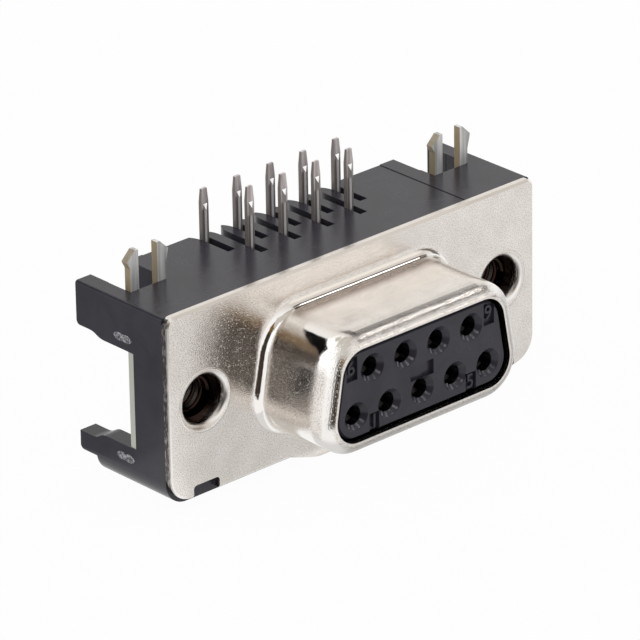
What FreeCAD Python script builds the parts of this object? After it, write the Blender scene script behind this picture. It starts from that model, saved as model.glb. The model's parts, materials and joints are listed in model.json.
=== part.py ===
import FreeCAD, Part
import math
import os

# Right-angle nine-way D-sub socket for a circuit board, millimetres.
# It lies as photographed: +Z is the board side where the tails stand,
# -Y is the mating side, X runs along the flange. The origin is the centre
# of the mating face pattern, in the plane of the flange's front face.

os.makedirs("parts", exist_ok=True)

# Flange and sheet of the front shell
sheet = 0.5
screw_spacing = 24.99
screw_margin = 2.91
flange_height = 12.5
flange_low_corner = 1.8
flange_high_corner = 0.6
sheared_edge = 0.15

# D-shaped shroud, outside
shroud_width = 16.33
shroud_height = 7.9
shroud_corner = 2.6
shroud_slope = 10.0
shroud_reach = 6.15
shroud_wall = 0.4
lip_radius = 0.85
lip_flat = 0.03
root_radius = 0.75

# Collars drawn through the flange at the jack screw holes
collar_bore = 3.3
collar_wall = 0.4
collar_break = 0.45
collar_start = 0.1
collar_depth = 1.1

# Notches and folded tab on the flange's far edge
notch_width = 2.1
notch_height = 0.8
notch_offset = 0.05
notch_round = 0.25
tab_half_width = 2.4
tab_flare = 3.1
tab_length = 4.6
tab_bend = 0.7
tab_land = 0.25

# Moulded housing
floor_drop = 0.25
low_edge_radius = 1.6
top_edge_radius = 0.2
pad_top = 6.2
pad_step = 0.04
pad_start = 10.0
housing_back = 8.45
web_back = 3.2
arm_width = 1.25
arm_under_front = 2.98
arm_under_back = 3.3
finger_top_front = -3.48
finger_top_back = -3.9
finger_bottom = -5.15
floor_back = 6.95
step_start = 5.9
step_end = 7.3
profile_corner = 0.3
floor_round = 0.6

# Insulator nose inside the shroud
nose_face = 5.95
nose_inset = 1.1
nose_edge = 0.12
collar_fit = 0.06
nose_collar_reach = 3.4

# Contact pattern
pitch = 2.77
row_spacing = 2.84
wide_row_count = 5
narrow_row_count = 4
entry_diameter = 1.92
throat_diameter = 1.26
cavity_side = 1.7
cavity_start = 5.0

# Comb
slot_width = 0.62
slot_front_wide = 5.15
slot_front_narrow = 3.65
lead_in_start = 7.5
rib_tip = 0.06

# Contacts
leg_width = 0.56
leg_thick = 0.28
tail_y_wide = 7.7
tail_y_narrow = 5.02
tail_tip_wide = 9.54
tail_tip_narrow = 10.08
leg_bend = 0.4
tip_width = 0.42
tip_thick = 0.19
tip_taper = 0.9
crest_width = 0.34
crest_height = 0.12
crest_runout = 1.0
crest_ramp = 0.4
beam_width = 1.3
beam_thick = 0.2
beam_front = 4.85
beam_pinch = 4.25
beam_bend = 2.4
beam_back = 0.2
beam_spread = 0.52
beam_grip = 0.47
beam_flare = 0.16
stake_front = 1.0
stake_back = 3.0
swell_low = 3.7
swell_high = 4.7

# Board locks
lock_sheet = 0.52
lock_plate_half = 2.8
lock_margin = 0.06
lock_rise = 0.03
lock_bend = 0.2
lock_relief = 0.25
fork_front = 4.72
fork_width = 2.84
fork_shift = 0.225
prong_width = 0.67
fork_top = 8.83
fork_gap_floor = 4.6
fork_gap_round = 0.4
fork_clear = 0.04
prong_tip_flat = 0.25
barb_reach = 0.22
barb_height = 8.12
barb_flat = 0.08
hook_short = 0.42
hook_long = 0.9
lock_notch_front = 5.75
lock_notch_corner = 0.4
lock_notch_clear = 0.12

# Clinched threaded inserts
thread_diameter = 2.84
insert_body = 4.1
insert_neck = 3.2
insert_foot = 4.2
insert_foot_thick = 0.55
insert_chamfer = 0.2
insert_clear = 0.1

# Shallow label windows on the mating face: x, z, width, height
window_depth = 0.27
windows = {
    "one": (-4.05, -2.4, 0.82, 1.6),
    "five": (4.1, -2.4, 0.88, 1.6),
    "six": (-5.85, 1.85, 0.9, 1.55),
    "nine": (5.68, 1.9, 0.9, 1.5),
    "centre": (-0.02, -0.1, 1.95, 1.0),
}

screw_x = screw_spacing / 2
half_width = screw_x + screw_margin
half_height = flange_height / 2
floor_z = -half_height - floor_drop
row_z = row_spacing / 2
plate_back = web_back + lock_sheet


def vec(x, y, z):
    return FreeCAD.Vector(x, y, z)


def save(shape, node):
    shape.exportStep("parts/" + node + ".step")


def block(x0, x1, y0, y1, z0, z1):
    return Part.makeBox(x1 - x0, y1 - y0, z1 - z0, vec(x0, y0, z0))


def rod(diameter, y0, y1, x=0, z=0):
    return Part.makeCylinder(diameter / 2, y1 - y0, vec(x, y0, z), vec(0, 1, 0))


def line(start, stop):
    return Part.LineSegment(start, stop).toShape()


def curve(poles):
    """Bezier edge through control points."""
    bezier = Part.BezierCurve()
    bezier.setPoles(poles)
    return bezier.toShape()


def rounded_edges(points, radii):
    """Closed outline through corner points, each corner rounded by its radius."""
    count = len(points)
    ends = []
    for i in range(count):
        before = (points[i - 1] - points[i]).normalize()
        after = (points[(i + 1) % count] - points[i]).normalize()
        if radii[i] == 0:
            ends.append((points[i], None, points[i]))
            continue
        half_angle = before.getAngle(after) / 2
        back = radii[i] / math.tan(half_angle)
        middle = (before + after).normalize()
        centre = points[i] + middle * (radii[i] / math.sin(half_angle))
        crown = centre - middle * radii[i]
        ends.append((points[i] + before * back, crown, points[i] + after * back))
    edges = []
    for i in range(count):
        start, crown, stop = ends[i]
        if crown is not None:
            edges.append(Part.Arc(start, crown, stop).toShape())
        following = ends[(i + 1) % count][0]
        if stop.distanceToPoint(following) > 1e-6:
            edges.append(line(stop, following))
    return edges


def outline_solid(points, radii, along):
    """Prism over a rounded outline."""
    wire = Part.Wire(Part.__sortEdges__(rounded_edges(points, radii)))
    return Part.Face(wire).extrude(along)


def yz_points(x, pairs):
    return [vec(x, y, z) for y, z in pairs]


def xz_points(y, pairs):
    return [vec(x, y, z) for x, z in pairs]


def xy_points(z, pairs):
    return [vec(x, y, z) for x, y in pairs]


def d_face(inset, y):
    """D outline of the shroud, moved inwards by inset, in the plane at y."""
    radius = shroud_corner - inset
    slope = math.radians(shroud_slope)
    centre_z = shroud_height / 2 - shroud_corner
    low_x = shroud_width / 2 - shroud_corner
    side_run = 2 * centre_z / math.cos(slope)
    high_x = low_x - side_run * math.sin(slope)
    centres = [
        (low_x, -centre_z, -90, shroud_slope),
        (high_x, centre_z, shroud_slope, 90),
        (-high_x, centre_z, 90, 180 - shroud_slope),
        (-low_x, -centre_z, 180 - shroud_slope, 270),
    ]
    arcs = []
    for x, z, first, last in centres:
        spots = []
        for angle in (first, (first + last) / 2, last):
            turn = math.radians(angle)
            spots.append(vec(x + radius * math.cos(turn), y, z + radius * math.sin(turn)))
        arcs.append(spots)
    edges = []
    for i, spots in enumerate(arcs):
        edges.append(Part.Arc(spots[0], spots[1], spots[2]).toShape())
        edges.append(line(spots[2], arcs[(i + 1) % 4][0]))
    return Part.Face(Part.Wire(edges))


def d_prism(inset, y_front, y_back):
    return d_face(inset, y_front).extrude(vec(0, y_back - y_front, 0))


def edges_in_plane(shape, y):
    """Edges of shape that lie wholly in the plane at y."""
    found = []
    for edge in shape.Edges:
        box = edge.BoundBox
        if abs(box.YMin - y) < 1e-4 and abs(box.YMax - y) < 1e-4:
            found.append(edge)
    return found


def near_shroud(edges):
    """Those edges that belong to the D outline and not to the flange or its holes."""
    found = []
    for edge in edges:
        box = edge.BoundBox
        if box.XMax < screw_x - 3 and box.XMin > 3 - screw_x and box.ZLength < shroud_height + 2:
            if box.ZMin > 0.3 - half_height:
                found.append(edge)
    return found


def flange_plate():
    """Flat flange, outer edge broken by the shearing, with its two notches."""
    low = -half_height
    corners = xz_points(0, [
        (-half_width, low), (half_width, low), (half_width, half_height), (-half_width, half_height)
    ])
    radii = [flange_low_corner, flange_low_corner, flange_high_corner, flange_high_corner]
    plate = outline_solid(corners, radii, vec(0, sheet, 0))
    plate = plate.makeChamfer(sheared_edge, edges_in_plane(plate, 0))
    for side in (-1, 1):
        middle = side * (screw_x + notch_offset)
        left = middle - notch_width / 2
        right = middle + notch_width / 2
        top = low + notch_height
        gap = xz_points(-1, [(left, low - 1), (right, low - 1), (right, top), (left, top)])
        plate = plate.cut(outline_solid(gap, [0, 0, notch_round, notch_round], vec(0, sheet + 2, 0)))
    return plate


def folded_tab():
    """Tab that leaves the flange's far edge, narrows as it bends, and lies under the housing."""
    low = -half_height
    root = low + 2 * sheared_edge
    outside = floor_z - tab_land - sheet
    inside = floor_z - tab_land
    reach = tab_half_width + tab_flare
    bend = outline_solid(yz_points(-reach, [
        (0, root), (0, outside), (2 * tab_bend, outside), (2 * tab_bend, inside), (sheet, inside), (sheet, root)
    ]), [0, tab_bend, 0, 0, tab_bend - sheet, 0], vec(2 * reach, 0, 0))
    narrowing = outline_solid(xz_points(0, [
        (-reach, root), (-reach, low), (-tab_half_width, outside),
        (tab_half_width, outside), (reach, low), (reach, root)
    ]), [0] * 6, vec(0, tab_bend, 0))
    flat = block(-tab_half_width, tab_half_width, tab_bend, tab_length, outside, inside)
    return bend.common(narrowing).fuse(flat)


def drawn_collar(body, x):
    """Short collar drawn through the flange around a screw hole, its mouth broken."""
    body = body.fuse(rod(collar_bore + 2 * collar_wall, collar_start, collar_depth, x))
    body = body.cut(rod(collar_bore, -1, collar_depth + 1, x))
    mouth = []
    for edge in edges_in_plane(body, 0):
        box = edge.BoundBox
        if abs(box.Center.x - x) < 0.01 and abs(box.XLength - collar_bore) < 0.01:
            mouth.append(edge)
    return body.makeChamfer(collar_break, mouth)


def front_shell():
    """Drawn steel shell: flange, hollow D shroud with a turned-in lip, collars, tab."""
    body = flange_plate().fuse(d_prism(0, -shroud_reach, sheet)).removeSplitter()
    body = body.makeFillet(root_radius, near_shroud(edges_in_plane(body, 0)))
    body = body.makeFillet(lip_radius, near_shroud(edges_in_plane(body, -shroud_reach)))
    inner_front = shroud_wall - shroud_reach
    hollow = d_prism(shroud_wall, inner_front, sheet + 1)
    hollow = hollow.makeChamfer(lip_radius - shroud_wall, edges_in_plane(hollow, inner_front))
    body = body.cut(hollow)
    body = body.cut(d_prism(lip_radius + lip_flat, -shroud_reach - 1, 0))
    for side in (-1, 1):
        body = drawn_collar(body, side * screw_x)
    return body.fuse(folded_tab()).removeSplitter()


def s_step(z_front, z_back):
    """Edge of an arm that steps gently from one height to another along Y."""
    middle = (step_start + step_end) / 2
    poles = [(step_start, z_front), (middle, z_front), (middle, z_back), (step_end, z_back)]
    return curve(yz_points(0, poles))


def open_path(corners, radii):
    """Edges through corner points from the first to the last, inner corners rounded."""
    points = yz_points(0, corners)
    closing = vec(1, points[0].y, points[0].z)
    edges = rounded_edges(points + [closing], [0] + radii + [0, 0])
    return edges[:-2]


def side_profile():
    """Side outline of the housing: web, comb arm above, finger and floor below."""
    comb = open_path([
        (web_back, arm_under_front), (web_back, finger_top_front), (step_start, finger_top_front)
    ], [0])
    finger = open_path([
        (step_end, finger_top_back),
        (housing_back, finger_top_back),
        (housing_back, finger_bottom),
        (floor_back, finger_bottom),
        (floor_back, floor_z),
        (sheet, floor_z),
        (sheet, pad_top),
        (housing_back, pad_top),
        (housing_back, arm_under_back),
        (step_end, arm_under_back),
    ], [0, profile_corner, 0, floor_round, 0, 0, 0, profile_corner])
    edges = comb + finger + [
        s_step(finger_top_front, finger_top_back),
        s_step(arm_under_front, arm_under_back),
        line(vec(0, step_start, arm_under_front), vec(0, web_back, arm_under_front)),
    ]
    return Part.Face(Part.Wire(Part.__sortEdges__(edges)))


def housing_blank():
    """Side outline trimmed to its end outline, with the rear bay opened."""
    body = side_profile().extrude(vec(2 * half_width, 0, 0))
    body.translate(vec(-half_width, 0, 0))
    corners = xz_points(0, [
        (-half_width, floor_z), (half_width, floor_z), (half_width, pad_top), (-half_width, pad_top)
    ])
    radii = [low_edge_radius, low_edge_radius, top_edge_radius, top_edge_radius]
    body = body.common(outline_solid(corners, radii, vec(0, housing_back + 1, 0)))
    inner = half_width - arm_width
    body = body.cut(block(-inner, inner, web_back, housing_back + 1, finger_bottom, arm_under_front))
    body = body.cut(block(-inner, inner, floor_back, housing_back + 1, floor_z - 1, arm_under_front))
    return body.cut(block(-pad_start, pad_start, -1, housing_back + 1, pad_top - pad_step, pad_top + 1))


def comb_slot(x, front):
    """Slot for one tail, open to the back through a rounded lead-in."""
    bottom = arm_under_front - 1
    narrow = slot_width / 2
    mouth = pitch / 4 - rib_tip
    run = housing_back - lead_in_start
    spread = mouth - narrow
    radius = (run ** 2 + spread ** 2) / (2 * spread)
    half_run = run / 2
    half_spread = radius - math.sqrt(radius ** 2 - half_run ** 2)
    edges = [line(vec(x - narrow, front, bottom), vec(x + narrow, front, bottom))]
    for side in (-1, 1):
        start = vec(x + side * narrow, lead_in_start, bottom)
        middle = vec(x + side * (narrow + half_spread), lead_in_start + half_run, bottom)
        stop = vec(x + side * mouth, housing_back, bottom)
        clear = vec(x + side * mouth, housing_back + 1, bottom)
        edges.append(line(vec(x + side * narrow, front, bottom), start))
        edges.append(Part.Arc(start, middle, stop).toShape())
        edges.append(line(stop, clear))
    edges.append(line(vec(x - mouth, housing_back + 1, bottom), vec(x + mouth, housing_back + 1, bottom)))
    return Part.Face(Part.Wire(Part.__sortEdges__(edges))).extrude(vec(0, 0, pad_top + 1 - bottom))


def lock_opening(side):
    """Notch behind a board lock and the narrower recess its fork stands in."""
    middle = side * (screw_x + fork_shift)
    inner = middle - side * (fork_width / 2 + lock_notch_clear)
    outer = side * (half_width - arm_width)
    low = min(inner, outer)
    high = max(inner, outer)
    bottom = arm_under_front - 1
    back = housing_back + 1
    corners = xy_points(bottom, [(low, lock_notch_front), (high, lock_notch_front), (high, back), (low, back)])
    radii = [lock_notch_corner, lock_notch_corner, 0, 0]
    notch = outline_solid(corners, radii, vec(0, 0, pad_top + 1 - bottom))
    room = fork_width / 2 + fork_clear
    recess = block(middle - room, middle + room, fork_front, lock_notch_front + 1, bottom, pad_top + 1)
    relief_top = arm_under_front + lock_bend
    relief = block(middle - room, middle + room, fork_front - lock_bend, fork_front, bottom, relief_top)
    return notch.fuse([recess, relief])


def contact_places():
    """Number, x, z and row kind of each contact, counted along the rows."""
    places = []
    for i in range(wide_row_count):
        places.append((i + 1, (i - (wide_row_count - 1) / 2) * pitch, -row_z, "wide"))
    for i in range(narrow_row_count):
        number = wide_row_count + i + 1
        places.append((number, (i - (narrow_row_count - 1) / 2) * pitch, row_z, "narrow"))
    return places


def contact_cavity(x, z):
    """Hole for one contact: countersunk entry, round throat, square cavity."""
    entry_depth = (entry_diameter - throat_diameter) / 2
    cone = Part.makeCone(
        entry_diameter / 2, throat_diameter / 2, entry_depth, vec(x, -nose_face, z), vec(0, 1, 0)
    )
    throat = rod(throat_diameter, -nose_face + entry_depth, -cavity_start, x, z)
    half = cavity_side / 2
    cavity = block(x - half, x + half, -cavity_start, web_back + 1, z - half, z + half)
    return cone.fuse([throat, cavity])


def housing():
    """Moulding: insulator nose, web, floor, side walls, comb and lock notches."""
    body = housing_blank()
    collar = d_prism(shroud_wall + collar_fit, -nose_collar_reach, sheet + 0.5)
    nose = d_prism(nose_inset, -nose_face, sheet + 0.5)
    nose = nose.makeChamfer(nose_edge, edges_in_plane(nose, -nose_face))
    body = body.fuse([collar, nose])
    land = block(-tab_half_width, tab_half_width, tab_bend, tab_length, floor_z - tab_land, floor_z)
    body = body.fuse(land)
    tools = []
    for x, z, wide, tall in windows.values():
        front = -nose_face - 1
        tools.append(block(x - wide / 2, x + wide / 2, front, window_depth - nose_face, z - tall / 2, z + tall / 2))
    for number, x, z, row in contact_places():
        tools.append(contact_cavity(x, z))
        tools.append(comb_slot(x, slot_front_wide if row == "wide" else slot_front_narrow))
    for side in (-1, 1):
        x = side * screw_x
        tools.append(lock_opening(side))
        tools.append(rod(insert_body + 2 * insert_clear, sheet - 1, web_back + 1, x))
    for tool in tools:
        body = body.cut(tool)
    return body.removeSplitter()


def tail_crest(x, face_y, low, high):
    """Roof-shaped ridge down a tail's front face, coined back to it at the top."""
    half = crest_width / 2
    section = xy_points(low, [
        (x - half, face_y + crest_height),
        (x - half, face_y),
        (x, face_y - crest_height),
        (x + half, face_y),
        (x + half, face_y + crest_height),
    ])
    ridge = outline_solid(section, [0] * 5, vec(0, 0, high - low))
    wedge = yz_points(x - half, [
        (face_y, high),
        (face_y - 2 * crest_height, high),
        (face_y - 2 * crest_height, high - 2 * crest_ramp),
    ])
    return ridge.cut(outline_solid(wedge, [0, 0, 0], vec(crest_width, 0, 0)))


def tail_tip(x, y, low, high):
    """Tapered end of a tail."""
    rings = []
    for wide, thick, height in ((leg_width, leg_thick, low), (tip_width, tip_thick, high)):
        ring = xy_points(height, [
            (x - wide / 2, y - thick / 2),
            (x + wide / 2, y - thick / 2),
            (x + wide / 2, y + thick / 2),
            (x - wide / 2, y + thick / 2),
        ])
        rings.append(Part.makePolygon(ring + ring[:1]))
    return Part.makeLoft(rings, True, True)


def spring_beams(x, z):
    """Pair of beams that grip the pin: parallel at the root, pinched, flared at the tip."""
    t = beam_thick
    inner = [
        (-beam_back - t, beam_spread),
        (-beam_bend, beam_spread),
        (-beam_pinch, beam_grip),
        (-beam_front, beam_grip + beam_flare),
    ]
    upper = [(y, z + reach) for y, reach in inner]
    lower = [(y, z - reach) for y, reach in reversed(inner)]
    back_up = [
        (-beam_front, z + beam_grip + beam_flare + t),
        (-beam_pinch, z + beam_grip + t),
        (-beam_bend, z + beam_spread + t),
        (-beam_back, z + beam_spread + t),
    ]
    back_down = [(y, 2 * z - height) for y, height in reversed(back_up)]
    profile = yz_points(x - beam_width / 2, upper + back_up + back_down + lower)
    return outline_solid(profile, [0] * 16, vec(beam_width, 0, 0))


def contact(x, z, row):
    """Stamped socket: spring beams, leg through the web, bend and tapered tail."""
    tail_y = tail_y_wide if row == "wide" else tail_y_narrow
    tip_z = tail_tip_wide if row == "wide" else tail_tip_narrow
    half = leg_thick / 2
    taper_z = tip_z - tip_taper
    profile = yz_points(x - leg_width / 2, [
        (-beam_back, z - half),
        (tail_y + half, z - half),
        (tail_y + half, taper_z),
        (tail_y - half, taper_z),
        (tail_y - half, z + half),
        (-beam_back, z + half),
    ])
    leg = outline_solid(profile, [0, leg_bend + leg_thick, 0, 0, leg_bend, 0], vec(leg_width, 0, 0))
    stake_half = cavity_side / 2
    stake = block(x - stake_half, x + stake_half, stake_front, stake_back, z - half, z + half)
    swell_half = slot_width / 2
    swell = block(x - swell_half, x + swell_half, tail_y - half, tail_y, swell_low, swell_high)
    crest = tail_crest(x, tail_y - half, z + half + leg_bend, tip_z - crest_runout)
    body = leg.fuse([tail_tip(x, tail_y, taper_z, tip_z), stake, swell, crest, spring_beams(x, z)])
    return body.removeSplitter()


def prong(middle, direction, hook):
    """One prong of the fork, barbed on its outer side."""
    outer_x = middle + direction * fork_width / 2
    inner_x = outer_x - direction * prong_width
    barb_x = outer_x + direction * barb_reach
    points = xz_points(fork_front, [
        (inner_x, fork_gap_floor),
        (outer_x, fork_gap_floor),
        (outer_x, barb_height - hook),
        (barb_x, barb_height),
        (barb_x, barb_height + barb_flat),
        (inner_x + direction * prong_tip_flat, fork_top),
        (inner_x, fork_top),
    ])
    return outline_solid(points, [0] * 7, vec(0, lock_sheet, 0))


def lock_strip(middle):
    """Bent strip: down behind the web, a shelf to the back, the fork blank upwards."""
    shelf_top = arm_under_front - lock_rise
    shelf_low = shelf_top - lock_sheet
    fork_back = fork_front + lock_sheet
    blank_top = fork_gap_floor + fork_gap_round
    profile = yz_points(middle - fork_width / 2, [
        (web_back, finger_top_front),
        (plate_back, finger_top_front),
        (plate_back, shelf_low),
        (fork_back, shelf_low),
        (fork_back, blank_top),
        (fork_front, blank_top),
        (fork_front, shelf_top),
        (web_back, shelf_top),
    ])
    bend_out = lock_bend + lock_sheet
    return outline_solid(profile, [0, 0, lock_bend, bend_out, 0, 0, lock_bend, bend_out], vec(fork_width, 0, 0))


def board_lock(side):
    """Sheet bracket clamped behind the web, with a barbed fork for the board."""
    middle = side * (screw_x + fork_shift)
    outer = side * (half_width - lock_margin)
    inner = side * (screw_x - lock_plate_half)
    top = arm_under_front - lock_rise
    plate = block(min(inner, outer), max(inner, outer), web_back, plate_back, finger_top_front, top)
    bend_foot = top - lock_sheet - 2 * lock_bend
    room = fork_width / 2 + lock_relief
    plate = plate.cut(block(middle - room, middle + room, web_back - 1, plate_back + 1, bend_foot, top + 1))
    prongs = [prong(middle, -1, hook_short), prong(middle, 1, hook_long)]
    body = plate.fuse([lock_strip(middle)] + prongs)
    half_gap = fork_width / 2 - prong_width
    gap = xz_points(fork_front - 1, [
        (middle - half_gap, fork_gap_floor),
        (middle + half_gap, fork_gap_floor),
        (middle + half_gap, fork_gap_floor + 1),
        (middle - half_gap, fork_gap_floor + 1),
    ])
    body = body.cut(outline_solid(gap, [fork_gap_round, fork_gap_round, 0, 0], vec(0, lock_sheet + 2, 0)))
    body = body.cut(rod(insert_neck + 2 * insert_clear, web_back - 1, plate_back + 1, side * screw_x))
    return body.removeSplitter()


def threaded_insert(side):
    """Bushing between the collar and the bracket, its neck clinched over the bracket."""
    x = side * screw_x
    foot_back = plate_back + insert_foot_thick
    shoulder = rod(insert_body, collar_depth, web_back, x)
    neck = rod(insert_neck, web_back, plate_back, x)
    foot = rod(insert_foot, plate_back, foot_back, x)
    body = shoulder.fuse([neck, foot])
    body = body.makeChamfer(insert_chamfer, edges_in_plane(body, foot_back))
    return body.cut(rod(thread_diameter, 0, foot_back + 1, x)).removeSplitter()


save(front_shell(), "front_shell")
save(housing(), "housing")
for number, x, z, row in contact_places():
    save(contact(x, z, row), "contact_" + str(number))
for side, name in ((-1, "left"), (1, "right")):
    save(board_lock(side), "board_lock_" + name)
    save(threaded_insert(side), "insert_" + name)
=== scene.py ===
import json
import math
import bpy
import bmesh
from mathutils import Matrix, Vector


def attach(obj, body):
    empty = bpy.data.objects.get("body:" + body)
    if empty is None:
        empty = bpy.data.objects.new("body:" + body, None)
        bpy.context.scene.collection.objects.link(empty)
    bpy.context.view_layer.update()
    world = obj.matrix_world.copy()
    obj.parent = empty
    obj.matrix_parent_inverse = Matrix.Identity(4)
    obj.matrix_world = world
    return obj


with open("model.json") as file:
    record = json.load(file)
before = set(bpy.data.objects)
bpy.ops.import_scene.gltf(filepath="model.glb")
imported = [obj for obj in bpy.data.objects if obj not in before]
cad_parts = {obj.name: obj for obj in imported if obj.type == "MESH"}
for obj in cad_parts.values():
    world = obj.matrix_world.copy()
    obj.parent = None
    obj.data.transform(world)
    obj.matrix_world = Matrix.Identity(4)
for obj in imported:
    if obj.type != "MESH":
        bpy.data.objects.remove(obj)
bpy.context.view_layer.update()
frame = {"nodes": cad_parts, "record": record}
scene = bpy.context.scene
mm = 0.001

# sizes that several pieces share, in millimetres: how far the two screws are apart, the contacts' pitch,
# how many there are in the row at each height, and where the nose's front is
layout = {"screws": 24.99, "pitch": 2.77, "rows": ((5, -1.42), (4, 1.42)), "noseFace": -5.95}


# colours are written as sRGB hex and turned to linear here
def linear(hexColour):
    values = []
    for i in (1, 3, 5):
        part = int(hexColour[i:i + 2], 16) / 255
        values.append(part / 12.92 if part <= 0.04045 else ((part + 0.055) / 1.055) ** 2.4)
    return (*values, 1.0)


# adds one node; an input that is given a socket is linked, any other value is set on it
def node(tree, kind, settings=None, inputs=None):
    made = tree.nodes.new(kind)
    for name, value in (settings or {}).items():
        setattr(made, name, value)
    for name, value in (inputs or {}).items():
        if isinstance(value, bpy.types.NodeSocket):
            tree.links.new(value, made.inputs[name])
        else:
            made.inputs[name].default_value = value
    return made


def newMaterial(name):
    material = bpy.data.materials.new(name)
    material.use_nodes = True
    tree = material.node_tree
    tree.nodes.clear()
    return material, tree


def finishMaterial(tree, shader):
    node(tree, "ShaderNodeOutputMaterial", inputs={"Surface": shader})


def principled(tree, inputs):
    shader = node(tree, "ShaderNodeBsdfPrincipled", inputs=inputs)
    finishMaterial(tree, shader.outputs["BSDF"])


def objectPlace(tree):
    return node(tree, "ShaderNodeTexCoord").outputs["Object"]


def split(tree, vector):
    return list(node(tree, "ShaderNodeSeparateXYZ", inputs={0: vector}).outputs)


# how squarely the surface faces along x, y and z, either way round
def facing(tree):
    normal = node(tree, "ShaderNodeTexCoord").outputs["Normal"]
    return split(tree, node(tree, "ShaderNodeVectorMath", {"operation": "ABSOLUTE"}, {0: normal}).outputs[0])


def maths(tree, operation, *values):
    return node(tree, "ShaderNodeMath", {"operation": operation}, dict(enumerate(values))).outputs[0]


# goes from low to high while the value goes from one end to the other; unit=mm takes the ends as lengths
def span(tree, value, ends, low=0.0, high=1.0, unit=1.0, curve="LINEAR"):
    return node(tree, "ShaderNodeMapRange", {"interpolation_type": curve}, {
        "Value": value, "From Min": ends[0] * unit, "From Max": ends[1] * unit, "To Min": low, "To Max": high,
    }).outputs["Result"]


# a mix node has its numbers at inputs 2 and 3, and its colours at 6 and 7
def mixValue(tree, share, first, second):
    return node(tree, "ShaderNodeMix", {"data_type": "FLOAT"}, {0: share, 2: first, 3: second}).outputs[0]


def mixColour(tree, share, first, second, blend="MIX"):
    settings = {"data_type": "RGBA", "blend_type": blend}
    return node(tree, "ShaderNodeMix", settings, {0: share, 6: first, 7: second}).outputs[2]


def ramp(tree, source, stops, colours):
    made = node(tree, "ShaderNodeValToRGB", inputs={"Fac": source})
    elements = made.color_ramp.elements
    while len(elements) < len(stops):
        elements.new(0.5)
    for element, stop, colour in zip(elements, stops, colours):
        element.position = stop
        element.color = linear(colour)
    return made.outputs["Color"]


# squeezes the place along z, so that a pattern on it comes out longer that way
def drawnOut(tree, place, squash):
    return node(tree, "ShaderNodeMapping", inputs={"Vector": place, "Scale": (1.0, 1.0, squash)}).outputs[0]


# noise with grains of a size in millimetres
def noise(tree, place, look):
    return node(tree, "ShaderNodeTexNoise", inputs={
        "Vector": place, "Scale": 1 / (look["size"] * mm), "Detail": look["detail"],
        "Distortion": look.get("distortion", 0.0),
    }).outputs["Fac"]


# noise and the colours it stands for
def mottle(tree, place, look):
    grains = noise(tree, place, look)
    return grains, ramp(tree, grains, look["stops"], look["colours"])


# a relief of a height in millimetres, laid over an earlier one if that is given
def relief(tree, height, distance, strength=1.0, under=None, invert=False):
    inputs = {"Height": height, "Strength": strength, "Distance": distance * mm}
    if under is not None:
        inputs["Normal"] = under
    return node(tree, "ShaderNodeBump", {"invert": invert}, inputs).outputs["Normal"]


# drawn sheet steel under a satin plate: warm grey and mirror-like, with an orange-peel grain that
# breaks reflections into speckle, coarser where the lip was stretched and rubbed smooth on the root radii.
# A depth is a place along y, below zero before the flange's front; a pair named for a direction says from
# where to where the surface faces that way, 1 being squarely; "left" is how much of the grain is left there
shellLook = {
    "cloud": {"size": 1.6, "detail": 4.0, "stops": (0.3, 0.7), "colours": ("#E5E0DA", "#F0EBE6")},
    "grain": {
        "size": 0.075, "detail": 1.5, "stops": (0.38, 0.5), "colours": ("#E2DDD8", "#FFFFFF"),
        "height": 0.009,
    },
    "speck": {"size": 0.15, "ends": (0.28, 0.1), "height": 0.007},
    "radius": {
        "squarest": (0.975, 0.9), "sideways": (0.1, 0.35), "colour": "#F6F3EF", "rough": 0.08, "left": 0.25,
    },
    "wall": {"upright": (0.8, 0.95), "left": 0.3},
    "root": {"depth": (-1.3, -0.9), "colour": "#D2CAC1"},
    # painted shade: a darker band on the long top and bottom walls just in front of the flange
    "paintedRootShade": {"depth": (-1.85, -0.9), "end": -0.3, "upright": (0.9, 0.98), "colour": "#B2A69E"},
    "sheared": {
        "depth": (0.06, 0.12), "sideways": (0.5, 0.8), "squash": 0.25,
        "size": 0.12, "detail": 3.0, "stops": (0.5, 0.6), "colours": ("#57514F", "#9C9591"),
    },
    "lip": {"depth": (-5.0, -5.5), "rough": 0.2},
    "collar": {"outward": (9.3, 9.6), "rough": 0.3},
    "flatRough": 0.2,
    "lean": [
        (-4.3, 0.15), (-4.8, 0.184), (-5.3, 0.285), (-5.55, 0.33), (-5.8, 0.32),
        (-5.95, 0.273), (-6.03, 0.225), (-6.1, 0.153), (-6.13, 0.098), (-6.15, 0.05),
    ],
}


# where a point of the shell lies and how it faces; rounded is 0 on flats and 1 on drawn radii
def shellPoint(tree):
    look = shellLook
    place = objectPlace(tree)
    across, depth, _ = split(tree, place)
    sideways, ahead, upright = facing(tree)
    squarest = maths(tree, "MAXIMUM", maths(tree, "MAXIMUM", sideways, ahead), upright)
    return {
        "place": place, "depth": depth, "outward": maths(tree, "ABSOLUTE", across),
        "sideways": sideways, "upright": upright, "rounded": span(tree, squarest, look["radius"]["squarest"]),
        # the long top and bottom walls come out of the drawing die smoother than the rest
        "grained": span(tree, upright, look["wall"]["upright"], 1.0, look["wall"]["left"]),
        "lip": span(tree, depth, look["lip"]["depth"], unit=mm),
    }


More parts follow.
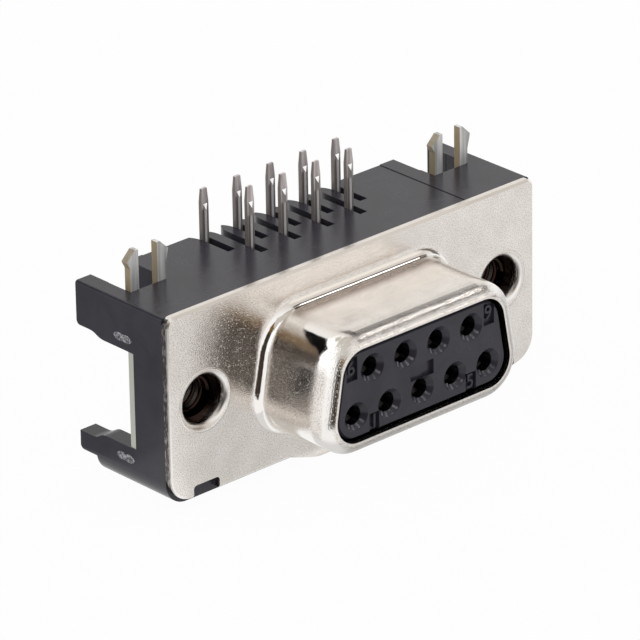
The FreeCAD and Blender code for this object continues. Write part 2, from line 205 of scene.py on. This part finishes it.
def shellColour(tree, point, grainTone):
    look = shellLook
    depth, sideways, rounded = point["depth"], point["sideways"], point["rounded"]
    _, cloudTone = mottle(tree, point["place"], look["cloud"])
    colour = mixColour(tree, point["grained"], cloudTone, grainTone, "MULTIPLY")

    # the long root radii keep a duller tone than the burnished ends
    longRoot = maths(tree, "MULTIPLY", span(tree, depth, look["root"]["depth"], unit=mm), rounded)
    colour = mixColour(tree, longRoot, colour, linear(look["root"]["colour"]))

    # painted shade: the long top and bottom walls are darkened toward the flange, where shade falls by the
    # root
    paintedRootShade = span(tree, depth, look["paintedRootShade"]["depth"], unit=mm, curve="SMOOTHSTEP")
    longWall = span(tree, point["upright"], look["paintedRootShade"]["upright"])
    beforeFlange = maths(tree, "LESS_THAN", depth, look["paintedRootShade"]["end"] * mm)
    wallShade = maths(tree, "MULTIPLY", paintedRootShade, maths(tree, "MULTIPLY", longWall, beforeFlange))
    colour = mixColour(tree, wallShade, colour, linear(look["paintedRootShade"]["colour"]))

    # the radii at the shroud's two ends are burnished
    burnished = maths(tree, "MULTIPLY", span(tree, sideways, look["radius"]["sideways"]), rounded)
    colour = mixColour(tree, burnished, colour, linear(look["radius"]["colour"]))

    # the sheet's sheared ends are dark, torn steel with pale crumbs of plate
    behind = span(tree, depth, look["sheared"]["depth"], unit=mm)
    shearedEnd = maths(tree, "MULTIPLY", behind, span(tree, sideways, look["sheared"]["sideways"]))
    _, tornTone = mottle(tree, drawnOut(tree, point["place"], look["sheared"]["squash"]), look["sheared"])
    return mixColour(tree, shearedEnd, colour, tornTone)


# the radii are polished, those of the collars less than those of the shroud
def shellRough(tree, point):
    radius, collar = shellLook["radius"]["rough"], shellLook["collar"]["rough"]
    radiusRough = span(tree, point["outward"], shellLook["collar"]["outward"], radius, collar, unit=mm)
    smooth = span(tree, point["rounded"], (0.0, 1.0), shellLook["flatRough"], radiusRough)
    return mixValue(tree, point["lip"], smooth, shellLook["lip"]["rough"])


# the wall leans in gently well before the lip and turns tightly only at its very front, by millimetres
def leaningLip(tree, depth, lean):
    start, end = lean[0][0], lean[-1][0]
    profile = node(tree, "ShaderNodeFloatCurve", inputs={"Value": span(tree, depth, (start, end), unit=mm)})
    bend = profile.mapping.curves[0]
    for y, inward in lean[1:-1]:
        bend.points.new((y - start) / (end - start), inward)
    bend.points[0].location = (0.0, lean[0][1])
    bend.points[-1].location = (1.0, lean[-1][1])
    profile.mapping.update()
    return relief(tree, profile.outputs[0], 1.0, invert=True)


# the grain and its specks are rubbed off the radii and stay on the lip
def shellRelief(tree, point, grain):
    look = shellLook
    rubbed = span(tree, point["rounded"], (0.0, 1.0), 1.0, look["radius"]["left"])
    strength = maths(tree, "MULTIPLY", maths(tree, "MAXIMUM", rubbed, point["lip"]), point["grained"])
    cells = 1 / (look["speck"]["size"] * mm)
    speck = node(tree, "ShaderNodeTexVoronoi", inputs={"Vector": point["place"], "Scale": cells})
    pits = span(tree, speck.outputs["Distance"], look["speck"]["ends"])
    leaning = leaningLip(tree, point["depth"], look["lean"])
    grained = relief(tree, grain, look["grain"]["height"], strength, leaning)
    return relief(tree, pits, look["speck"]["height"], strength, grained)


def platedSteel():
    material, tree = newMaterial("satinPlatedSteel")
    point = shellPoint(tree)
    grain, grainTone = mottle(tree, point["place"], shellLook["grain"])
    principled(tree, {
        "Base Color": shellColour(tree, point, grainTone), "Metallic": 1.0,
        "Roughness": shellRough(tree, point), "Normal": shellRelief(tree, point, grain),
    })
    return material


# glass-filled polyester, moulded black: soft sheen, faint flow mottle, short blurred reflections
housingLook = {
    "flow": {
        "size": 2.4, "detail": 5.0, "distortion": 0.6,
        "stops": (0.3, 0.75), "colours": ("#2E2C34", "#3B3941"),
    },
    "grain": {"size": 0.16, "detail": 4.0, "height": 0.002},
    "throat": {"depth": (-5.66, -5.58), "end": -0.2, "colour": "#0B0A0D"},
    "rough": 0.18, "flowRough": 0.14, "refraction": 1.54, "gloss": 0.3,
}


def blackPolyester():
    look = housingLook
    material, tree = newMaterial("blackGlassFilledPolyester")
    place = objectPlace(tree)
    flow, mottled = mottle(tree, place, look["flow"])

    # the throats behind the entry funnels are near black, as hardly any light gets in
    depth = split(tree, place)[1]
    past = span(tree, depth, look["throat"]["depth"], unit=mm)
    inThroat = maths(tree, "MULTIPLY", past, maths(tree, "LESS_THAN", depth, look["throat"]["end"] * mm))
    principled(tree, {
        "Base Color": mixColour(tree, inThroat, mottled, linear(look["throat"]["colour"])),
        "Roughness": maths(tree, "MULTIPLY_ADD", flow, look["flowRough"], look["rough"]),
        "IOR": look["refraction"], "Specular IOR Level": look["gloss"],
        "Normal": relief(tree, noise(tree, place, look["grain"]), look["grain"]["height"]),
    })
    return material


# tin plate over stamped bronze: dull grey with fine lengthwise drawing marks, tan on sheared edges
tinLook = {
    "squash": 0.06, "sheared": (0.4, 0.8), "edgeHeights": (4, 6), "metal": 0.45, "lineRough": 0.15,
    "lineHeight": 0.003,
}
contactTin = {
    "lines": {"size": 0.11, "detail": 3.0},
    "cloud": {"size": 0.33, "detail": 4.0, "stops": (0.35, 0.65), "colours": ("#A79E9C", "#EDE6E4")},
    "edge": "#918983", "edgeLow": "#918983", "rough": 0.3, "hasPaintedCrest": True,
}
lockTin = {
    "lines": {"size": 0.12, "detail": 3.0},
    "cloud": {"size": 0.36, "detail": 4.0, "stops": (0.35, 0.65), "colours": ("#A9A8A5", "#EFEEEC")},
    "edge": "#B8A988", "edgeLow": "#D3D5C8", "rough": 0.36, "hasPaintedCrest": False,
}

# painted highlight and painted shade: a white line is painted down the middle of each solder tail, with dark
# shade bands painted beside it, and its coined upper end is polished bright; the bands' edges are distances
# from the tail's middle line, and the painted line ends at a height
paintedCrestLook = {
    "stops": (0.08, 0.12, 0.14, 0.2), "colours": ("#FFFEFD", "#57504E", "#57504E", "#9C9491"),
    "ridge": (0.104, 0.072), "heights": (8.3, 8.1), "forward": (-0.8, -0.9), "upward": (0.18, 0.25),
    "coined": "#FFFEFD", "rough": 0.12,
}


# the tone across a tail with its painted highlight line and painted shade bands, where it is coined bright
# and where the painted line runs
def paintedCrestTail(tree, place, tone):
    look = paintedCrestLook
    across, _, height = split(tree, place)
    spacing = layout["pitch"] / 2
    column = maths(tree, "DIVIDE", across, spacing * mm)
    distance = maths(tree, "ABSOLUTE", maths(tree, "SUBTRACT", column, maths(tree, "ROUND", column)))
    below = span(tree, height, look["heights"], unit=mm)
    paintedBands = ramp(tree, distance, [stop / spacing for stop in look["stops"]], look["colours"])
    lower = mixColour(tree, below, tone, paintedBands)
    _, ahead, upward = split(tree, node(tree, "ShaderNodeTexCoord").outputs["Normal"])
    forward = span(tree, ahead, look["forward"])
    coined = maths(tree, "MULTIPLY", forward, span(tree, upward, look["upward"]))
    onPaintedLine = span(tree, distance, [edge / spacing for edge in look["ridge"]])
    ridge = maths(tree, "MULTIPLY", onPaintedLine, below)
    return mixColour(tree, coined, lower, linear(look["coined"])), coined, ridge


def tinnedBronze(name, look):
    material, tree = newMaterial(name)
    place = objectPlace(tree)
    drawn = drawnOut(tree, place, tinLook["squash"])
    lines = noise(tree, drawn, look["lines"])
    _, tone = mottle(tree, drawn, look["cloud"])
    metal = tinLook["metal"]
    rough = maths(tree, "MULTIPLY_ADD", lines, tinLook["lineRough"], look["rough"])
    if look["hasPaintedCrest"]:
        # painted highlight: the white line down each tail is made non-metallic, so that it shows white
        tone, coined, ridge = paintedCrestTail(tree, place, tone)
        metal = maths(tree, "MAXIMUM", span(tree, ridge, (0.0, 1.0), tinLook["metal"], 0.0), coined)
        rough = mixValue(tree, coined, rough, paintedCrestLook["rough"])
    upper = span(tree, split(tree, place)[2], tinLook["edgeHeights"], unit=mm)
    edgeTone = mixColour(tree, upper, linear(look["edgeLow"]), linear(look["edge"]))
    sheared = span(tree, facing(tree)[0], tinLook["sheared"])
    principled(tree, {
        "Base Color": mixColour(tree, sheared, tone, edgeTone), "Metallic": metal, "Roughness": rough,
        "Normal": relief(tree, lines, tinLook["lineHeight"]),
    })
    return material


# turned steel given a near-black colour, painted shade for the deep bore where almost no light comes back,
# with thin brown glints on the thread
insertLook = {"colour": "#2C201B", "rough": 0.24, "wave": 1.2, "waver": 0.4, "height": 0.002}


def darkForShadeSteel():
    look = insertLook
    material, tree = newMaterial("turnedSteelDarkForShade")
    rings = node(tree, "ShaderNodeTexWave", {"wave_type": "BANDS", "bands_direction": "Y"}, {
        "Vector": objectPlace(tree), "Scale": 1 / (look["wave"] * mm), "Distortion": look["waver"],
    })
    principled(tree, {
        "Base Color": linear(look["colour"]), "Metallic": 1.0, "Roughness": look["rough"],
        "Normal": relief(tree, rings.outputs["Fac"], look["height"]),
    })
    return material


# painted highlight: light grey streaks over the housing's black, standing in for glints of light down the
# entry funnels
funnelGlintLook = {
    "size": 0.3, "detail": 3.0, "stops": (0.35, 0.6), "colours": ("#3B3941", "#85828A"), "rough": 0.25,
}


def glintStreakPolyester():
    material, tree = newMaterial("glintStreakPolyester")
    _, colour = mottle(tree, objectPlace(tree), funnelGlintLook)
    principled(tree, {"Base Color": colour, "Roughness": funnelGlintLook["rough"]})
    return material


# polyester where a runner was snapped off: pale, rough and crumbly, with dark grains
snappedLook = {
    "size": 0.14, "detail": 4.0, "stops": (0.42, 0.58), "colours": ("#504E53", "#B4B2B6"), "rough": 0.6,
    "height": 0.03,
}


def snappedPolyester():
    material, tree = newMaterial("snappedGatePolyester")
    grain, colour = mottle(tree, objectPlace(tree), snappedLook)
    normal = relief(tree, grain, snappedLook["height"])
    principled(tree, {"Base Color": colour, "Roughness": snappedLook["rough"], "Normal": normal})
    return material


print("materials")
looks = {
    "shell": platedSteel(),
    "housing": blackPolyester(),
    "contacts": tinnedBronze("tinnedContactBronze", contactTin),
    "locks": tinnedBronze("tinnedLockBronze", lockTin),
    "inserts": darkForShadeSteel(),
    "flutes": glintStreakPolyester(),
    "gates": snappedPolyester(),
}

# each solid wears the look of its slot
slotOfNode = {entry["node"]: entry["material_slot"] for entry in frame["record"]["subparts"]}
for name, part in frame["nodes"].items():
    part.data.materials.clear()
    part.data.materials.append(looks[slotOfNode[name]])


# a piece of its own on the root body; its look is its slot's unless another is named
def meshPiece(name, mesh, slot, look=None):
    mesh.materials.clear()
    mesh.materials.append(looks[look or slot])
    piece = bpy.data.objects.new(name, mesh)
    scene.collection.objects.link(piece)
    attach(piece, "root")
    return piece


# a closed mesh from points in millimetres, with its faces turned outward
def closedMesh(name, points, faces):
    mesh = bpy.data.meshes.new(name)
    mesh.from_pydata([(x * mm, y * mm, z * mm) for x, y, z in points], [], faces)
    shape = bmesh.new()
    shape.from_mesh(mesh)
    bmesh.ops.recalc_face_normals(shape, faces=shape.faces)
    shape.to_mesh(mesh)
    shape.free()
    return mesh


# what an object becomes once its curve or its modifiers are worked out; the object itself goes
def finishedMesh(holder):
    scene.collection.objects.link(holder)
    mesh = bpy.data.meshes.new_from_object(holder.evaluated_get(bpy.context.evaluated_depsgraph_get()))
    bpy.data.objects.remove(holder)
    return mesh


# pin numbers stand up from the floors of their shallow windows
print("pin numbers")
numbers = {
    "sunk": 0.27, "raised": 0.19, "fontSize": 1.323, "bevel": 0.015,
    "places": {"1": (-3.98, -2.25), "5": (4.1, -2.25), "6": (-5.85, 1.85), "9": (5.68, 1.9)},
}


def raisedNumber(text, x, z):
    curve = bpy.data.curves.new("number", "FONT")
    curve.body = text
    curve.align_x = "CENTER"
    curve.align_y = "CENTER"
    curve.size = numbers["fontSize"] * mm
    curve.extrude = numbers["raised"] * mm / 2
    curve.bevel_depth = numbers["bevel"] * mm
    mesh = finishedMesh(bpy.data.objects.new("number", curve))
    front = layout["noseFace"] + numbers["sunk"] - numbers["raised"] / 2
    mesh.transform(Matrix.Translation((x * mm, front * mm, z * mm)) @ Matrix.Rotation(math.pi / 2, 4, "X"))
    return mesh


for text, (x, z) in numbers["places"].items():
    meshPiece("pinNumber" + text, raisedNumber(text, x, z), "housing")


# short flutes down the lower side of each contact entry's funnel. Each is a ridge of three sides: its
# points are two at the foot and one on top at the outer end, then the same at the inner end
print("entry flutes")
flute = {
    "funnel": 0.96, "outer": 0.9, "inner": 0.64, "count": 4, "from": -40, "to": -130,
    "halfWidth": 0.1, "height": 0.07, "sink": 0.01,
    "faces": ((0, 1, 4, 3), (1, 2, 5, 4), (2, 0, 3, 5), (0, 2, 1), (3, 4, 5)),
}


def entryFlutes():
    rows = layout["rows"]
    entries = [((i - (count - 1) / 2) * layout["pitch"], z) for count, z in rows for i in range(count)]
    points, faces = [], []
    for x, z in entries:
        for step in range(flute["count"]):
            angle = math.radians(flute["from"] + (flute["to"] - flute["from"]) * step / (flute["count"] - 1))
            radial = Vector((math.cos(angle), 0, math.sin(angle)))
            side = Vector((-math.sin(angle), 0, math.cos(angle))) * flute["halfWidth"]
            out = (Vector((0, -1, 0)) - radial).normalized()
            start = len(points)
            for reach in (flute["outer"], flute["inner"]):
                wall = Vector((x, flute["funnel"] - reach + layout["noseFace"], z)) + radial * reach
                foot = wall - out * flute["sink"]
                points += [foot - side, foot + side, foot + out * (flute["height"] + flute["sink"])]
            faces += [tuple(start + corner for corner in face) for face in flute["faces"]]
    return closedMesh("entryFlutes", points, faces)


# the flutes carry the painted highlight streaks
meshPiece("entryFlutes", entryFlutes(), "housing", "flutes")


# where the moulding's runners were snapped off the left end: two rough ovals side by side. Their rims are
# ragged by waves, each given by its size, how many go around and its shift, and their tops are lumpy by one
print("gate marks")
gate = {
    "x": -15.41, "raised": 0.04, "lobe": (0.5, 0.27), "spacing": 0.62, "rings": 7, "around": 36,
    "inward": 0.96, "ragged": ((0.03, 5, 1), (0.02, 11, 2)), "lumps": (0.3, 3),
    "places": {"Upper": (4.15, 3.75), "Lower": (4.2, -4.3)},
}


def gateMark(y, z):
    points, faces = [], []
    rings, around = gate["rings"], gate["around"]
    lumpSize, lumpCount = gate["lumps"]
    for lobe in (-1, 1):
        start = len(points)
        middle = y + lobe * gate["spacing"] / 2
        for ring in range(rings):
            share = 1 - ring / (rings - 1) * gate["inward"]
            for step in range(around):
                angle = 2 * math.pi * step / around
                reach = share
                for size, count, shift in gate["ragged"]:
                    reach += share * size * math.sin(count * angle + shift * lobe)
                lump = 1 + lumpSize * math.sin(lumpCount * angle + ring + lobe)
                lift = gate["raised"] * math.sqrt(1 - share ** 2) * lump
                along = middle + gate["lobe"][0] * reach * math.cos(angle)
                points.append((gate["x"] - lift, along, z + gate["lobe"][1] * reach * math.sin(angle)))
        for ring in range(rings - 1):
            for step in range(around):
                a = start + ring * around + step
                b = start + ring * around + (step + 1) % around
                faces.append((a, b, b + around, a + around))
        faces.append(tuple(start + (rings - 1) * around + step for step in range(around)))
        faces.append(tuple(start + step for step in reversed(range(around))))
    return closedMesh("gateMark", points, faces)


for name, (y, z) in gate["places"].items():
    meshPiece("gateMark" + name, gateMark(y, z), "housing", "gates")


# the soft mouth of each collar: a quarter round turned about the screw axis, over the broken edge, with
# its back a little way under the sheet's surface
print("collar mouths")
collar = {"bore": 3.12, "radius": 0.54, "around": 96, "steps": 10, "under": 0.15}


def collarMouth(x):
    middle = collar["bore"] / 2 + collar["radius"]
    outline = []
    for step in range(collar["steps"] + 1):
        turn = math.pi / 2 * step / collar["steps"]
        outline.append((middle - collar["radius"] * math.sin(turn), collar["radius"] * (1 - math.cos(turn))))
    outline.append((collar["bore"] / 2 + collar["under"], collar["radius"]))
    outline.append((middle, collar["under"]))
    count = len(outline)
    points, faces = [], []
    for i in range(collar["around"]):
        angle = 2 * math.pi * i / collar["around"]
        for radius, depth in outline:
            points.append((x + radius * math.cos(angle), depth, radius * math.sin(angle)))
        following = (i + 1) % collar["around"]
        for j in range(count):
            k = (j + 1) % count
            faces.append((i * count + j, i * count + k, following * count + k, following * count + j))
    mesh = closedMesh("collarMouth", points, faces)
    mesh.shade_smooth()
    return mesh


meshPiece("collarMouthLeft", collarMouth(-layout["screws"] / 2), "shell")
meshPiece("collarMouthRight", collarMouth(layout["screws"] / 2), "shell")


# screw thread inside each insert: a ridge swept along a helix
print("threads")
thread = {
    "bore": 2.84, "minor": 2.2, "pitch": 0.635, "rootWidth": 0.56, "crestWidth": 0.09,
    "front": 1.25, "back": 4.2, "sink": 0.03, "steps": 40,
}


# the ridge's node group: a spiral that carries a trapezoid, laid along y
def threadTree():
    tree = bpy.data.node_groups.new("threadRidge", "GeometryNodeTree")
    tree.interface.new_socket("Geometry", in_out="OUTPUT", socket_type="NodeSocketGeometry")
    for name in ("Radius", "Depth", "Turns", "Length", "Root Width", "Crest Width"):
        tree.interface.new_socket(name, in_out="INPUT", socket_type="NodeSocketFloat")
    tree.interface.new_socket("Material", in_out="INPUT", socket_type="NodeSocketMaterial")
    given = node(tree, "NodeGroupInput").outputs
    helix = node(tree, "GeometryNodeCurveSpiral", inputs={
        "Resolution": thread["steps"], "Rotations": given["Turns"], "Start Radius": given["Radius"],
        "End Radius": given["Radius"], "Height": given["Length"],
    })
    upright = node(tree, "GeometryNodeSetCurveNormal", {"mode": "Z_UP"}, {"Curve": helix.outputs[0]})
    profile = node(tree, "GeometryNodeCurvePrimitiveQuadrilateral", {"mode": "TRAPEZOID"}, {
        "Height": given["Depth"], "Bottom Width": given["Root Width"], "Top Width": given["Crest Width"],
        "Offset": 0.0,
    })
    turned = node(tree, "GeometryNodeTransform", inputs={
        "Geometry": profile.outputs[0], "Rotation": (0, 0, math.pi / 2),
    })
    ridge = node(tree, "GeometryNodeCurveToMesh", inputs={
        "Curve": upright.outputs[0], "Profile Curve": turned.outputs[0], "Fill Caps": True,
    })
    laid = node(tree, "GeometryNodeTransform", inputs={
        "Geometry": ridge.outputs[0], "Rotation": (-math.pi / 2, 0, 0),
    })
    real = node(tree, "GeometryNodeRealizeInstances", inputs={"Geometry": laid.outputs[0]})
    painted = node(tree, "GeometryNodeSetMaterial", inputs={
        "Geometry": real.outputs[0], "Material": given["Material"],
    })
    node(tree, "NodeGroupOutput", inputs={"Geometry": painted.outputs[0]})
    return tree


def threadMesh():
    tree = threadTree()
    holder = bpy.data.objects.new("thread", bpy.data.meshes.new("thread"))
    modifier = holder.modifiers.new("ridge", "NODES")
    modifier.node_group = tree
    outer = thread["bore"] / 2 + thread["sink"]
    inner = thread["minor"] / 2
    length = thread["back"] - thread["front"]
    sizes = {
        "Radius": (outer + inner) / 2 * mm, "Depth": (outer - inner) * mm, "Length": length * mm,
        "Turns": length / thread["pitch"], "Root Width": thread["rootWidth"] * mm,
        "Crest Width": thread["crestWidth"] * mm, "Material": looks["inserts"],
    }
    for item in tree.interface.items_tree:
        if item.in_out == "INPUT":
            modifier[item.identifier] = sizes[item.name]
    return finishedMesh(holder)


for side, name in ((-1, "threadLeft"), (1, "threadRight")):
    mesh = threadMesh()
    mesh.transform(Matrix.Translation((side * layout["screws"] / 2 * mm, thread["front"] * mm, 0)))
    meshPiece(name, mesh, "inserts")


# camera fitted to the photograph's flange corners and contact holes, in millimetres and degrees
print("camera")
view = {
    "place": (-228.643, -248.967, 156.626), "turn": (65.3279, 0.8878, -42.5946), "lens": 338.4, "sensor": 36,
    "clip": (0.01, 10),
}
cameraData = bpy.data.cameras.new("camera")
cameraData.lens = view["lens"]
cameraData.sensor_width = view["sensor"]
cameraData.clip_start, cameraData.clip_end = view["clip"]
camera = bpy.data.objects.new("camera", cameraData)
camera.location = Vector(view["place"]) * mm
camera.rotation_euler = [math.radians(angle) for angle in view["turn"]]
scene.collection.objects.link(camera)
scene.camera = camera
scene.view_settings.view_transform = "Standard"

# soft studio in metres: a pale world and four lamps, with the key high on the right, a softbox at the front
# right, a wide faint one overhead and one on the left. The cards are what the metal mirrors: benches that
# lie on the floor and turn up into a screen, strips that stand around, a stretch of table and two dark gaps
print("studio")
studio = {
    "world": "#F4F4F6", "worldStrength": 0.68,
    "lamps": [
        {"name": "key", "place": (0.262, -0.02, 0.3375), "size": 0.026, "power": 0.025},
        {"name": "softbox", "place": (0.27, -0.3, 0.186), "size": 0.16, "power": 0.028},
        {"name": "overhead", "place": (-0.06, 0.12, 0.45), "size": 0.8, "power": 0.46},
        {"name": "left", "place": (-0.3, 0.05, 0.1), "size": 0.3, "power": 0.06},
    ],
    "floor": -0.00725, "paper": "#F2F1EF", "paperGlow": 0.97, "paperReach": 0.6,
    "benches": [
        {"name": "cameraSide", "turn": (206, 240), "reach": (0.02, 0.45), "height": 0.45, "grey": "#3E362E"},
        {"name": "leftBack", "turn": (105, 160), "reach": (0.02, 0.5), "height": 0.0, "grey": "#B4B4B8"},
    ],
    "benchLift": 0.0004, "benchLean": 0.001, "arcSteps": 4,
    "strips": [
        {"name": "backLeft", "turn": (98, 146), "rise": (19, 51), "reach": 0.5, "grey": "#0A0908"},
        {"name": "warmUpper", "turn": (218, 246), "rise": (24, 42), "reach": 0.42, "grey": "#7A5F33"},
        {"name": "ceiling", "turn": (0, 360), "rise": (64, 89), "reach": 0.62, "grey": "#A39B90"},
        {"name": "hood", "turn": (195, 258), "rise": (42, 78), "reach": 0.42, "grey": "#CBC6C0"},
        {"name": "backWall", "turn": (10, 97), "rise": (10, 64), "reach": 0.52, "grey": "#F6F4F1"},
        {"name": "horizon", "turn": (315, 350), "rise": (-6, 13), "reach": 0.5, "grey": "#827E79"},
    ],
    "tableCorners": [
        (-0.013, -0.001), (-0.0049, -0.0115), (0.0024, -0.0195),
        (0.012, -0.03), (0.06, -0.06), (0.06, -0.001),
    ],
    "tableLift": 0.0002, "tableLeft": "#DEDEDE", "tableRight": "#F4F4F4", "tableFade": (0.0, 0.03),
    "gaps": {"Back": (-0.008, 0.33, "#2A211D"), "Front": (-0.13, -0.033, "#5E5750")},
    "gapSides": (0.15, 0.6), "gapHeight": 0.35,
}


# white for the camera and for whatever mirrors it, the soft light for everything else
def showsWhite(tree):
    rays = node(tree, "ShaderNodeLightPath").outputs
    mirrored = maths(tree, "MAXIMUM", rays["Is Glossy Ray"], rays["Is Transmission Ray"])
    return maths(tree, "MAXIMUM", rays["Is Camera Ray"], mirrored)


world = bpy.data.worlds.new("studio")
scene.world = world
world.use_nodes = True
worldTree = world.node_tree
worldTree.nodes.clear()
soft = node(worldTree, "ShaderNodeBackground", inputs={
    "Color": linear(studio["world"]), "Strength": studio["worldStrength"],
})
white = node(worldTree, "ShaderNodeBackground", inputs={"Color": (1, 1, 1, 1), "Strength": 1.0})
background = node(worldTree, "ShaderNodeMixShader", inputs={
    0: showsWhite(worldTree), 1: soft.outputs[0], 2: white.outputs[0],
})
node(worldTree, "ShaderNodeOutputWorld", inputs={"Surface": background.outputs[0]})

for lamp in studio["lamps"]:
    lampData = bpy.data.lights.new(lamp["name"], "AREA")
    lampData.size = lamp["size"]
    lampData.energy = lamp["power"]
    lampObject = bpy.data.objects.new(lamp["name"], lampData)
    lampObject.location = lamp["place"]
    lampObject.rotation_euler = (-Vector(lamp["place"])).to_track_quat("-Z", "Y").to_euler()
    scene.collection.objects.link(lampObject)


def stageMesh(name, points, faces, material):
    mesh = bpy.data.meshes.new(name)
    mesh.from_pydata(points, [], faces)
    mesh.materials.append(material)
    stageObject = bpy.data.objects.new(name, mesh)
    scene.collection.objects.link(stageObject)
    return stageObject


# a card that only reflections see, of one grey or fading to another along x
def mirroredCard(name, points, faces, grey, greyRight=None):
    material, tree = newMaterial(name + "Card")
    glow = node(tree, "ShaderNodeEmission", inputs={"Color": linear(grey), "Strength": 1.0})
    if greyRight:
        share = span(tree, split(tree, objectPlace(tree))[0], studio["tableFade"])
        tree.links.new(ramp(tree, share, (0.0, 1.0), (grey, greyRight)), glow.inputs["Color"])
    finishMaterial(tree, glow.outputs[0])
    cardObject = stageMesh(name + "Card", points, faces, material)
    cardObject.visible_camera = False
    cardObject.visible_diffuse = False
    cardObject.visible_shadow = False


# points about the vertical axis, from the card's first heading to its last
def arc(card, reach, height):
    first, last = card["turn"]
    steps = studio["arcSteps"]
    turns = [math.radians(first + (last - first) * step / steps) for step in range(steps + 1)]
    return [(reach * math.cos(turn), reach * math.sin(turn), height) for turn in turns]


# the faces between one arc and the next
def arcFaces(arcs):
    row = studio["arcSteps"] + 1
    starts = [i * row + step for i in range(arcs - 1) for step in range(studio["arcSteps"])]
    return [(start, start + 1, start + row + 1, start + row) for start in starts]


# a bench lies just over the floor from near to far and turns up into a screen
for bench in studio["benches"]:
    lift = studio["floor"] + studio["benchLift"]
    near, far = bench["reach"]
    points = arc(bench, near, lift) + arc(bench, far, lift)
    points += arc(bench, far + studio["benchLean"], lift + bench["height"])
    mirroredCard(bench["name"], points, arcFaces(3), bench["grey"])

# a strip stands around the object between two elevations
for strip in studio["strips"]:
    points = []
    for rise in strip["rise"]:
        elevation = math.radians(rise)
        points += arc(strip, strip["reach"] * math.cos(elevation), strip["reach"] * math.sin(elevation))
    mirroredCard(strip["name"], points, arcFaces(2), strip["grey"])

# the stretch of table that the flange mirrors is a shade under white
tablePoints = [(x, y, studio["floor"] + studio["tableLift"]) for x, y in studio["tableCorners"]]
tableFace = tuple(range(len(tablePoints)))
mirroredCard("table", tablePoints, [tableFace], studio["tableLeft"], studio["tableRight"])

# the two unlit stretches of ceiling on either side of the key lamp
left, right = studio["gapSides"]
for name, (near, far, grey) in studio["gaps"].items():
    corners = ((left, near), (right, near), (right, far), (left, far))
    mirroredCard("gap" + name, [(x, y, studio["gapHeight"]) for x, y in corners], [(0, 1, 2, 3)], grey)

# white paper: the camera and the metal see it lit to white, with the object's faint shadow on it
paperMaterial, paperTree = newMaterial("whitePaper")
paper = node(paperTree, "ShaderNodeBsdfDiffuse", inputs={"Color": linear(studio["paper"])})
glow = node(paperTree, "ShaderNodeEmission", inputs={"Color": (1, 1, 1, 1), "Strength": 1.0})
lit = node(paperTree, "ShaderNodeMixShader", inputs={
    0: studio["paperGlow"], 1: paper.outputs[0], 2: glow.outputs[0],
})
shown = node(paperTree, "ShaderNodeMixShader", inputs={
    0: showsWhite(paperTree), 1: paper.outputs[0], 2: lit.outputs[0],
})
finishMaterial(paperTree, shown.outputs[0])
reach = studio["paperReach"]
paperPoints = [(x * reach, y * reach, studio["floor"]) for x, y in ((-1, -1), (1, -1), (1, 1), (-1, 1))]
stageMesh("floor", paperPoints, [(0, 1, 2, 3)], paperMaterial)
